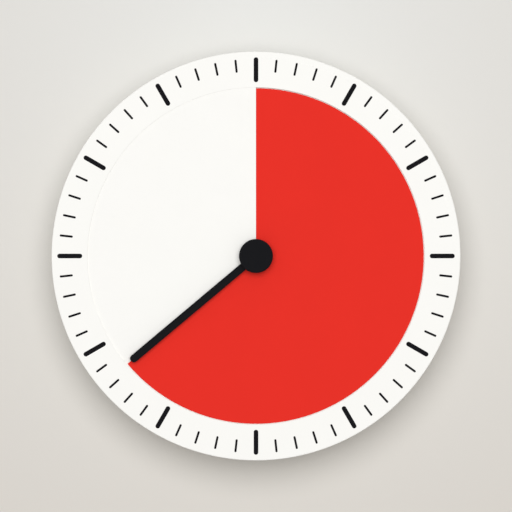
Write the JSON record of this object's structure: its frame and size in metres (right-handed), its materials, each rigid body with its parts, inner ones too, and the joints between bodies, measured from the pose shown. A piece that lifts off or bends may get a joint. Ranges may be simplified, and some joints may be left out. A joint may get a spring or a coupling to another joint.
{
  "type": "visual countdown timer",
  "caption": "Round battery timer whose red disc winds out through a slit in a white dial as the black hand is turned, and back under it as time runs out.",
  "frame": {"origin": "centre of the bounding box in plan, on the surface that the feet stand on", "axes": "+Z out of the dial, +Y towards twelve o'clock, +X towards three o'clock; the timer lies on its back"},
  "size_m": [0.2, 0.2, 0.0368],
  "materials": {
    "dial_white": "satin moulded ABS",
    "mark_black": "satin moulded ABS",
    "housing_white": "fine spark-eroded texture",
    "door_white": "fine spark-eroded texture",
    "disc_red": "satin film",
    "hand_black": "satin moulded ABS",
    "hub_black": "satin moulded ABS",
    "foot_rubber": "matt",
    "switch_black": "satin",
    "chassis_grey": "satin glass-filled polymer",
    "movement_black": "satin glass-filled polymer",
    "screw_steel": "zinc plated",
    "spring_steel": "nickel plated",
    "motor_steel": "annealed, plain",
    "arbor_steel": "turned",
    "collar_brass": "turned",
    "board_green": "solder mask on glass-epoxy",
    "chip_black": "epoxy drop",
    "crystal_can": "drawn can",
    "buzzer_black": "satin",
    "bobbin_white": "nylon",
    "coil_copper": "enamelled copper wire",
    "gear_white": "acetal",
    "gear_orange": "acetal",
    "magnet_grey": "sintered ferrite",
    "cell_sleeve": "plain shrink sleeve"
  },
  "bodies": {
    "case": {"front_cover": "dial_white", "five_minute_marks": "mark_black", "minute_marks": "mark_black", "rear_housing": "housing_white", "chassis_plate": "chassis_grey", "chassis_screws": "screw_steel", "case_screws": "screw_steel", "rubber_feet": "foot_rubber", "movement_case": "movement_black", "movement_cover": "movement_black", "movement_screws": "screw_steel", "train_bridge": "movement_black", "collar_nut": "collar_brass", "circuit_board": "board_green", "timer_chip": "chip_black", "quartz_crystal": "crystal_can", "buzzer": "buzzer_black", "switch_body": "motor_steel", "coil_bobbin": "bobbin_white", "coil_winding": "coil_copper", "coil_core": "motor_steel", "stator": "motor_steel", "stator_screws": "screw_steel", "battery": "cell_sleeve", "positive_contact": "spring_steel", "negative_contact": "spring_steel"},
    "pointer": {"main_arbor": "arbor_steel", "clutch_washer": "collar_brass", "arbor_clip": "spring_steel", "hub": "hub_black", "hand": "hand_black"},
    "disc": {"red_disc": "disc_red"},
    "centre_gear": {"centre_wheel": "gear_white"},
    "third_gear": {"third_wheel": "gear_orange"},
    "second_gear": {"second_wheel": "gear_white"},
    "intermediate_gear": {"intermediate_wheel": "gear_orange"},
    "motor_rotor": {"rotor_pinion": "gear_white", "rotor_magnet": "magnet_grey"},
    "sound_switch": {"sound_switch_knob": "switch_black"},
    "door": {"battery_door": "door_white"}
  },
  "joints": [
    {"name": "hand_turn", "type": "hinge", "parent": "case", "child": "pointer", "pos_m": [0, 0, 0.03], "axis": [0, 0, 1], "range_deg": [-130, 230]},
    {"name": "disc_lift", "type": "slide", "parent": "pointer", "child": "disc", "axis": [0, 0, 1], "range_m": [-0.00096, 0.00055]},
    {"name": "centre_wheel_turn", "type": "hinge", "parent": "case", "child": "centre_gear", "pos_m": [0, 0, 0.015], "axis": [0, 0, 1], "range_deg": [-130, 230]},
    {"name": "third_wheel_turn", "type": "hinge", "parent": "case", "child": "third_gear", "pos_m": [0.00929, 0.01327, 0.015], "axis": [0, 0, 1], "range_deg": [-1840.5, 1040.5]},
    {"name": "second_wheel_turn", "type": "hinge", "parent": "case", "child": "second_gear", "pos_m": [-0.00414, 0.0154, 0.015], "axis": [0, 0, 1], "range_deg": [-7800.5, 13800.5]},
    {"name": "intermediate_wheel_turn", "type": "hinge", "parent": "case", "child": "intermediate_gear", "pos_m": [-0.01524, 0.01022, 0.015], "axis": [0, 0, 1], "range_deg": [-82800.5, 46800.5]},
    {"name": "rotor_turn", "type": "hinge", "parent": "case", "child": "motor_rotor", "pos_m": [-0.01832, 0.00176, 0.015], "axis": [0, 0, 1], "range_deg": [-234000.5, 414000.5]},
    {"name": "sound_switch_slide", "type": "slide", "parent": "case", "child": "sound_switch", "axis": [1, 0, 0], "range_m": [0, 0.003]},
    {"name": "battery_door_swing", "type": "hinge", "parent": "case", "child": "door", "pos_m": [0, -0.0382, 0.0014], "axis": [-1, 0, 0], "range_deg": [0, 75]}
  ],
  "couplings": [
    {"joint": "disc_lift", "follows": "hand_turn", "m_per_rad": -0.00023873},
    {"joint": "centre_wheel_turn", "follows": "hand_turn", "ratio": 1},
    {"joint": "third_wheel_turn", "follows": "hand_turn", "ratio": -8},
    {"joint": "second_wheel_turn", "follows": "hand_turn", "ratio": 60},
    {"joint": "intermediate_wheel_turn", "follows": "hand_turn", "ratio": -360},
    {"joint": "rotor_turn", "follows": "hand_turn", "ratio": 1800}
  ]
}
